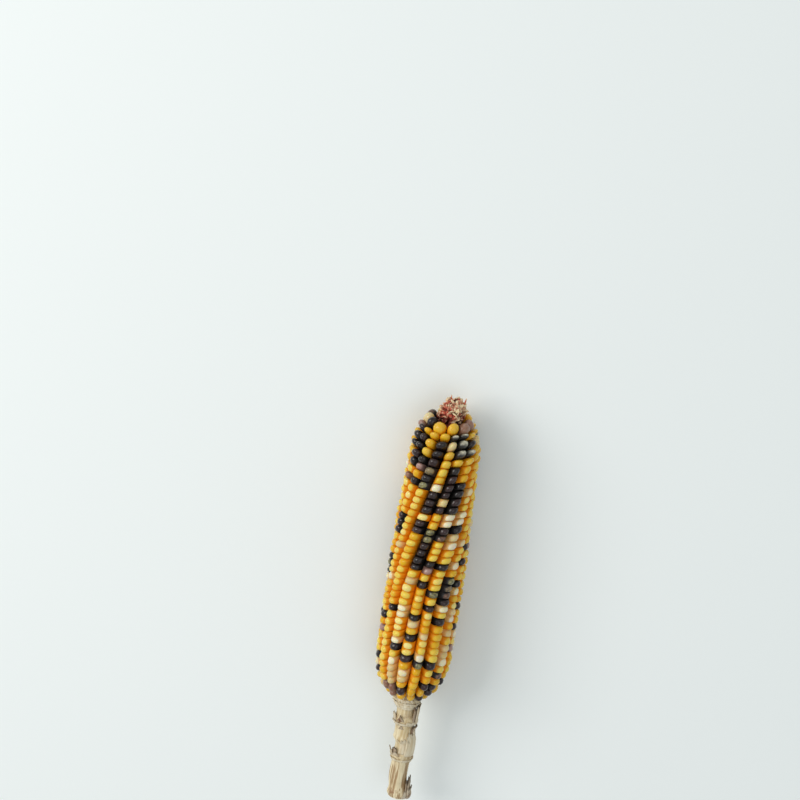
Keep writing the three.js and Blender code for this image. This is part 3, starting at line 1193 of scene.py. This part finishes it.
def add_spikes(dice, tuft, size):
    """Adds the longest scales, which stand up from the tuft's top."""
    pattern = scale_pattern(SPIKE_WIDTH)
    for x, z in SPIKES:
        foot = tuft_centre(TUFT_TOP - 3 * MM) + Vector((x, 0, z)) * MM
        outward = Vector((0.06 * x, 1, 0.06 * z))
        chaff_scale(dice, tuft, pattern, foot, outward, size, 0.1, 0.8, SPIKE_CURL)


class CORN_OT_chaff(bpy.types.Operator):
    """Dress the cob and its bare tip with chaff"""

    bl_idname = "corn.chaff"
    bl_label = "Cob and chaff"

    def execute(self, context):
        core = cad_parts["cob_core"]
        core.data.materials.clear()
        core.data.materials.append(cob_finish())
        dice = random.Random(5)
        size = settings()[0].scale_length
        tuft = Gathering()
        add_knob(tuft)
        add_scales(dice, tuft, size)
        add_spikes(dice, tuft, size)
        piece = tuft.make("chaff_tuft", [chaff_finish()])
        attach(piece, ROOT)
        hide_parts("tip_chaff")
        return {"FINISHED"}


# ---------------------------------------------------------------- the shank


def shank_centre(along):
    """The shank's centre at a place below the foot, off the ear's axis, in metres."""
    at = along / MM
    for (high, x1, z1), (low, x2, z2) in zip(SHANK_LINE, SHANK_LINE[1:]):
        if at >= low:
            part = (high - at) / (high - low)
            part = part * part * (3 - 2 * part)
            return lerp(x1, x2, part) * MM, lerp(z1, z2, part) * MM
    return SHANK_LINE[-1][1] * MM, SHANK_LINE[-1][2] * MM


def near_joint(along, spread):
    """1 at a joint of the shank, and 0 far from them."""
    return max(math.exp(-(((along / MM - joint) / spread) ** 2)) for joint in SHANK_JOINTS)


def shank_radius(along):
    """The shank's radius at a place below the foot."""
    flare = TOP_FLARE * math.exp(along / MM / TOP_FLARE_REACH)
    return SHANK_RADIUS + (JOINT_SWELL * near_joint(along, JOINT_SPREAD) + flare) * MM


def on_shank(along, phi, out):
    """A point on or off the shank's surface."""
    x, z = shank_centre(along)
    return around(shank_radius(along) + out, phi, along) + Vector((x, 0, z))


def shank_finish():
    """Dry stalk: pale and straw fibres with brown stains, darkest at the joints."""
    tints = settings()[2]
    material, tree, shader = new_material("dry_shank")
    fibre = use_group(tree, once(FIBRE, fibre_group), {"Fineness": 0.8, "Stretch": 0.05})
    body = blend(tree, fibre["Streak"], tints.shank_straw, tints.shank_pale)
    joint, lower, _ = parts(tree, mark(tree, "wear"))
    brown = times(tree, fibre["Stain"], sums(tree, "MULTIPLY_ADD", joint, 0.75, 0.12))
    streaked = times(tree, lower, steps(tree, fibre["Streak"], 0.7, 0.2, 0.0, 0.6))
    body = blend(tree, streaked, body, tints.shank_brown)
    body = blend(tree, brown, body, tints.shank_brown)
    place = wire(tree, "TexCoord").outputs["Object"]
    bundles = steps(tree, grains(tree, place, 1600.0, detail=1.0), 0.56, 0.68, 0.0, 0.6)
    cut = blend(tree, bundles, tints.shank_pale, tints.shank_brown)
    at_cut = steps(tree, parts(tree, place)[1], SHANK_END_Y + 0.3 * MM, SHANK_END_Y + 0.1 * MM)
    fill(tree, shader, {
        "Base Color": blend(tree, at_cut, body, cut),
        "Roughness": steps(tree, fibre["Streak"], 0.0, 1.0, 0.55, 0.7),
        "Normal": relief(tree, fibre["Height"], 0.5, 0.0005),
    })
    return material


def straight_stalk():
    """A straight stalk from the cut end to the foot of the cob, extruded station by station."""
    bottom = SHANK_END_Y - FOOT_Y
    deselect()
    bpy.ops.mesh.primitive_circle_add(
        vertices=SHANK_SIDES, radius=SHANK_RADIUS, fill_type="TRIFAN",
        location=around(0, 0, bottom), rotation=(math.pi / 2, 0, 0),
    )
    stalk = bpy.context.object
    stalk.name = "shank_stalk"
    bpy.ops.object.transform_apply(location=True, rotation=True, scale=True)
    bpy.ops.object.mode_set(mode="EDIT")
    bpy.ops.mesh.select_all(action="SELECT")
    for _ in range(SHANK_STATIONS):
        bpy.ops.mesh.extrude_region_move(
            TRANSFORM_OT_translate={"value": (0, (SHANK_TOP - bottom) / SHANK_STATIONS, 0)}
        )
    bpy.ops.object.mode_set(mode="OBJECT")
    settle(stalk)
    return stalk


class CORN_OT_shank(bpy.types.Operator):
    """Grow the jointed shank"""

    bl_idname = "corn.shank"
    bl_label = "Shank"

    def execute(self, context):
        stalk = straight_stalk()
        wear = stalk.data.attributes.new("wear", "FLOAT_VECTOR", "POINT")
        for vertex, worn in zip(stalk.data.vertices, wear.data):
            away = vertex.co - around(0, 0, 0)
            along = away.y
            part = math.hypot(away.x, away.z) / SHANK_RADIUS
            phi = math.atan2(away.x, away.z)
            flutes = 0.1 * math.sin(9 * phi + 2) + 0.08 * math.sin(14 * phi + 0.1 * along / MM)
            lumps = 0.5 * noise.noise(Vector((math.sin(phi), along / (7 * MM), math.cos(phi))))
            full = shank_radius(along) + (flutes + lumps) * MM * part
            x, z = shank_centre(along)
            vertex.co = around(full * part, phi, along) + Vector((x, 0, z))
            lower = (-along / MM - WEATHERED_BELOW) / WEATHERED_FADE
            worn.vector = (near_joint(along, JOINT_WEAR), min(1, max(0, lower)), 0)
        bpy.ops.object.shade_smooth_by_angle(angle=math.radians(50))
        stalk.data.materials.append(shank_finish())
        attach(stalk, ROOT)
        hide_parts("shank")
        return {"FINISHED"}


# ---------------------------------------------------------------- the husk's stubs


def husk_finish():
    """Torn husk: fibrous and pale, browner towards its torn edge, and darkest on the inner strips,
    where the shade inside the curls is painted.
    """
    tints = settings()[2]
    material, tree, shader = new_material("torn_husk")
    fibre = use_group(tree, once(FIBRE, fibre_group), {"Fineness": 1.2, "Stretch": 0.08})
    up, weather_and_shade, _ = parts(tree, mark(tree, "strip"))
    body = blend(tree, times(tree, fibre["Streak"], 0.6), tints.husk_pale, tints.shank_straw)
    # painted shade: the inner strips of the curls, marked fully weathered, are painted brown and
    # dark at the top as shade as well as wear
    worn = times(tree, weather_and_shade, sums(tree, "MULTIPLY_ADD", fibre["Stain"], 0.5, 0.6))
    body = blend(tree, worn, body, tints.husk_brown_and_shade)
    edge = times(tree, steps(tree, up, 0.7, 1.0), sums(tree, "MULTIPLY_ADD", weather_and_shade, 0.7, 0.1))
    fill(tree, shader, {
        "Base Color": blend(tree, edge, body, tints.husk_dark_and_shade),
        "Roughness": 0.75,
        "Normal": relief(tree, fibre["Height"], 0.6, 0.0004),
    })
    return material


class Strip:
    """A torn strip of husk: where its foot and its tip are, the angles that it spans, how far it
    leans out at the tip, how weathered it is, and how far its sides draw in. On the inner strips
    that others curl over, full weathering also stands for painted shade inside the curls."""

    def __init__(self, foot, height, start, end, flare, weather_and_shade, narrowing=0.3, seed=0, off=0.15):
        self.foot = foot * MM
        self.height = height * MM
        self.start = start
        self.end = end
        self.flare = flare * MM
        self.weather_and_shade = weather_and_shade
        self.narrowing = narrowing
        self.seed = seed
        self.off = off * MM


def husk_strip(gathered, strip):
    """Adds one torn strip that wraps the shank, modelled as a sheet and thickened."""
    across = max(5, round(abs(strip.end - strip.start) / 6))
    rows = max(4, round(strip.height / (0.8 * MM)))
    deselect()
    bpy.ops.mesh.primitive_grid_add(x_subdivisions=across, y_subdivisions=rows, size=2)
    sheet = bpy.context.object
    marks = []
    for vertex in sheet.data.vertices:
        u, v = vertex.co.x, (vertex.co.y + 1) / 2
        ragged = noise.noise(Vector((u * across * 0.3, strip.seed * 3.7, 0)))
        ragged += 0.6 * noise.noise(Vector((u * across * 0.8, strip.seed * 1.3, 5)))
        height = strip.height * (0.9 + 0.2 * ragged - 0.5 * strip.narrowing * u * u)
        turn = lerp(strip.start, strip.end, 0.5 + 0.5 * u * (1 - strip.narrowing * v * v))
        along = strip.foot + height * v
        wave = noise.noise(Vector((u * across * 0.25, v * 3, strip.seed)))
        wave += 0.5 * noise.noise(Vector((u * across * 0.6, v * 6, strip.seed + 9)))
        lean = strip.flare * v * v
        hug = max(shank_radius(along), shank_radius(strip.foot)) - shank_radius(along)
        out = hug + strip.off + lean + 0.45 * MM * wave * v
        vertex.co = on_shank(along, math.radians(turn), out)
        marks.append((v, strip.weather_and_shade, strip.seed))
    bpy.context.view_layer.objects.active = sheet
    layer = sheet.data.attributes.new("strip", "FLOAT_VECTOR", "POINT")
    layer.data.foreach_set("vector", [number for row in marks for number in row])
    settle(sheet)
    finish_modifier(sheet, "SOLIDIFY", thickness=settings()[0].husk_thickness, offset=1)
    carried = [tuple(item.vector) for item in sheet.data.attributes["strip"].data]
    shape = Shape(sheet)
    gathered.add(shape, shape.points, strip=carried)


def ring_of_strips(foot, height, count, flare, weather_and_shade, seed, off=0.1):
    """Strips all round a joint, overlapping, each of its own height."""
    strips = []
    for i in range(count):
        start = 360 / count * (i + 0.3 * hashed(i, seed))
        wide = 360 / count * (1.15 + 0.5 * hashed(i, seed + 1))
        tall = height * (0.65 + 0.5 * hashed(i, seed + 2))
        strips.append(
            Strip(foot, tall, start, start + wide, flare, weather_and_shade * hashed(i, seed + 3),
                  0.1, seed=seed + i, off=off + 0.25 * (i % 2))
        )
    return strips


HUSK_PIECES = {
    "husk_collar_top": [
        *ring_of_strips(-4.4, 4.0, 6, 1.2, 0.12, 31),
        *ring_of_strips(-3.4, 3.2, 7, 1.0, 0.05, 37, off=0.6),
    ],
    "husk_flap": [
        Strip(-12.4, 11.0, 58, 124, 1.2, 0.3, 0.05, 41, off=1.0),
        # the inner strip's full weathering is painted shade inside the flap
        Strip(-12.2, 10.4, 42, 104, 0.9, 1.0, 0.05, 42, off=0.2),
        Strip(-11.2, 4.6, -42, -4, 0.4, 1.0, 0.9, 43, off=0),
        Strip(-11.6, 5.0, -88, -52, 0.5, 0.45, 0.3, 44),
    ],
    "husk_collar_upper": [
        *ring_of_strips(-13.6, 2.4, 7, 0.35, 0.2, 51, off=0.15),
        Strip(-15.9, 2.3, -38, -2, 0.05, 0.85, 0.95, 58, off=-0.15),
    ],
    "husk_sheath": [
        Strip(-31, 14.5, 8, 172, 0.2, 0.05, 0.12, 61),
        Strip(-30, 10, -28, 40, 0.15, 0.15, 0.35, 63, off=0.05),
        Strip(-18.4, 5.0, 56, 116, 1.2, 0.8, 0.1, 62, off=0.6),
        Strip(-18.0, 4.4, 48, 84, 0.4, 1.0, 0.3, 65, off=0.3),
    ],
    "husk_curl": [
        Strip(-31.6, 4.0, 264, 304, 1.0, 0.5, 0.05, 71, off=0.5),
        Strip(-30.8, 4.4, 286, 326, 0.6, 1.0, 0.3, 72, off=0.1),
        Strip(-31.4, 2.8, 300, 346, 0.5, 0.6, 0.7, 73, off=0.2),
    ],
    "husk_collar_lower": ring_of_strips(-34.6, 1.8, 7, 0.15, 0.2, 81, off=0.05),
    "husk_spur": [
        Strip(-54.8, 12.6, 52, 112, 0.2, 0.9, 0.3, 91, off=1.2),
        Strip(-54.8, 11.5, 44, 100, 0.3, 1.0, 0.25, 95, off=0.4),
        Strip(-54.8, 6.4, 48, 100, 1.2, 0.7, 0.1, 92, off=1.0),
        Strip(-54.8, 4.5, 20, 70, 0.4, 0.5, 0.4, 93, off=0.2),
    ],
}


class CORN_OT_husk(bpy.types.Operator):
    """Tear the husk's stubs round the shank's joints"""

    bl_idname = "corn.husk"
    bl_label = "Husk stubs"

    def execute(self, context):
        finish = husk_finish()
        for node, strips in HUSK_PIECES.items():
            gathered = Gathering()
            for strip in strips:
                husk_strip(gathered, strip)
            piece = gathered.make(node + "_torn", [finish])
            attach(piece, ROOT)
            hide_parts(node)
        return {"FINISHED"}


# ---------------------------------------------------------------- the stage


AIM_RIGHT = 15.0 * MM  # how far right of the picture's middle the ear's middle is
AIM_UP = -80.5 * MM  # and how far above it
FLOOR_SIZE = 12
SKY = (228, 234, 235)
SKY_STRENGTH = 0.62
LIGHTS = (  # names, places off the ear's middle, sizes, shares of the key light's power, tints
    ("key", (-1.27, 0.48, 0.98), 1.0, 1, (1, 0.98, 0.95)),
    ("fill", (0.5, 0, 1.5), 1.2, 0.22, (0.95, 0.98, 1)),
)


def floor_finish():
    """A plain pale surface."""
    material, tree, shader = new_material("pale_floor")
    place = wire(tree, "TexCoord").outputs["Object"]
    tint = settings()[3].floor
    soft = times(tree, grains(tree, place, 3.0, detail=2.0), 0.06)
    fill(tree, shader, {
        "Base Color": blend(tree, soft, tint, tuple(value * 0.9 for value in tint)),
        "Roughness": 0.9,
    })
    return material


def area_light(name, place, target, size, power, tint):
    """A square soft light that shines on a target."""
    lamp = bpy.data.lights.new(name, "AREA")
    lamp.size = size
    lamp.energy = power
    lamp.color = tint
    light = bpy.data.objects.new(name, lamp)
    light.location = place
    light.rotation_euler = (target - place).to_track_quat("-Z", "Y").to_euler()
    bpy.context.scene.collection.objects.link(light)


def place_camera(stage):
    """Looks down on the lying cob, with its tip leaning towards the camera and to the right."""
    lens = bpy.data.cameras.new("camera")
    camera = bpy.data.objects.new("camera", lens)
    bpy.context.scene.collection.objects.link(camera)
    lens.sensor_width = 36
    lens.lens = lens.sensor_width * stage.distance / stage.span
    away = Vector((0, math.sin(stage.lean), math.cos(stage.lean)))
    upward = Vector((0, math.cos(stage.lean), -math.sin(stage.lean)))
    across = Vector((1, 0, 0))
    right = across * math.cos(stage.roll) + upward * math.sin(stage.roll)
    top = upward * math.cos(stage.roll) - across * math.sin(stage.roll)
    middle = around(0, 0, settings()[0].ear_length / 2)
    aim = middle - right * AIM_RIGHT - top * AIM_UP
    turned = Matrix((right, top, away)).transposed().to_4x4()
    camera.matrix_world = Matrix.Translation(aim + away * stage.distance) @ turned
    lens.clip_start, lens.clip_end = 0.05, 20
    bpy.context.scene.camera = camera


class CORN_OT_stage(bpy.types.Operator):
    """Set the floor, the lights and the camera"""

    bl_idname = "corn.stage"
    bl_label = "Stage"

    def execute(self, context):
        stage = settings()[3]
        deselect()
        bpy.ops.mesh.primitive_plane_add(size=FLOOR_SIZE)
        floor = context.object
        floor.name = "floor"
        floor.data.materials.append(floor_finish())
        middle = around(0, 0, settings()[0].ear_length / 2)
        for name, place, size, part, tint in LIGHTS:
            area_light(name, middle + Vector(place), middle, size, stage.key_power * part, tint)
        world = bpy.data.worlds.new("studio")
        bpy.context.scene.world = world
        world.use_nodes = True
        sky = world.node_tree.nodes["Background"]
        sky.inputs["Color"].default_value = rgba(paint(*SKY))
        sky.inputs["Strength"].default_value = SKY_STRENGTH
        place_camera(stage)
        bpy.context.scene.view_settings.view_transform = "Standard"
        return {"FINISHED"}


class CORN_PT_panel(bpy.types.Panel):
    """Every step of the cob, and its settings"""

    bl_idname = "CORN_PT_panel"
    bl_label = "Corn Cob"
    bl_space_type = "VIEW_3D"
    bl_region_type = "UI"
    bl_category = "Corn Cob"

    def draw(self, context):
        for step in STEPS:
            self.layout.operator(step.bl_idname)
        for group in settings():
            for name in type(group).__annotations__:
                self.layout.prop(group, name)


STEPS = (CORN_OT_stage, CORN_OT_kernels, CORN_OT_chaff, CORN_OT_shank, CORN_OT_husk)
GROUPS = {
    "cob_sizes": CobSizes,
    "kernel_colours": KernelColours,
    "dry_colours": DryColours,
    "stage_settings": StageSettings,
}


def register():
    """Makes the settings, the operators and the panel known to Blender."""
    for name, group in GROUPS.items():
        bpy.utils.register_class(group)
        setattr(bpy.types.Scene, name, bpy.props.PointerProperty(type=group))
    for step in STEPS:
        bpy.utils.register_class(step)
    bpy.utils.register_class(CORN_PT_panel)


def unregister():
    """Takes them away again."""
    bpy.utils.unregister_class(CORN_PT_panel)
    for step in reversed(STEPS):
        bpy.utils.unregister_class(step)
    for name, group in reversed(GROUPS.items()):
        delattr(bpy.types.Scene, name)
        bpy.utils.unregister_class(group)


def main():
    """Builds the whole cob."""
    register()
    bpy.ops.corn.stage()
    bpy.ops.corn.kernels()
    bpy.ops.corn.chaff()
    bpy.ops.corn.shank()
    bpy.ops.corn.husk()


if __name__ == "__main__":
    main()
